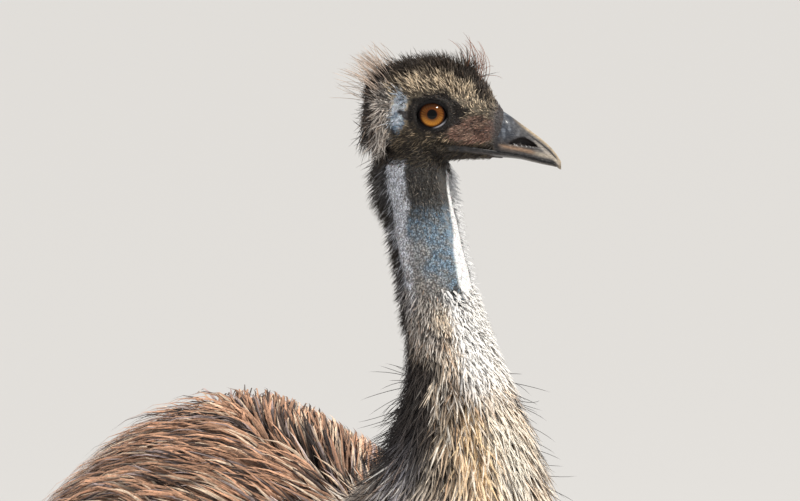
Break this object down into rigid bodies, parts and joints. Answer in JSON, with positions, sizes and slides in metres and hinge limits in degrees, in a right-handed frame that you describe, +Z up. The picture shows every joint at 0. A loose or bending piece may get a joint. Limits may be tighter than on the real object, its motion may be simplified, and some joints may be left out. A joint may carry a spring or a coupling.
{
  "type": "emu figure",
  "caption": "Life-size standing emu with its neck up and its head turned to its left, shaggy coat and bare scaled legs.",
  "frame": {"origin": "on the floor, at the middle of the bounding box", "axes": "+Z up, -Y the way the breast faces, +X the bird's left"},
  "size_m": [0.4814, 1.0354, 1.4564],
  "materials": {
    "plumage": "shaggy grey-brown feathers, paler at the base of the neck",
    "face_skin": "dark skin under short bristles, with black hair-like tufts on the crown",
    "blue_skin": "pale blue-grey bare skin with sparse black hairs",
    "bill_horn": "dark grey horn with a paler ridge",
    "eye": "wet orange-brown iris round a black pupil",
    "leg_scales": "grey-brown scaled skin",
    "claw_horn": "black horn"
  },
  "bodies": {
    "root": {"head": "face_skin", "bill_upper": "bill_horn", "bill_lower": "bill_horn", "eye_left": "eye", "eye_right": "eye", "neck_upper": "blue_skin", "neck_middle": "plumage", "neck_base": "plumage", "trunk": "plumage", "tail": "plumage", "wing_left": "plumage", "wing_right": "plumage", "drumstick_left": "plumage", "shank_left": "leg_scales", "foot_left": "leg_scales", "toe_inner_left": "leg_scales", "claw_inner_left": "claw_horn", "toe_middle_left": "leg_scales", "claw_middle_left": "claw_horn", "toe_outer_left": "leg_scales", "claw_outer_left": "claw_horn", "drumstick_right": "plumage", "shank_right": "leg_scales", "foot_right": "leg_scales", "toe_inner_right": "leg_scales", "claw_inner_right": "claw_horn", "toe_middle_right": "leg_scales", "claw_middle_right": "claw_horn", "toe_outer_right": "leg_scales", "claw_outer_right": "claw_horn"}
  },
  "joints": []
}
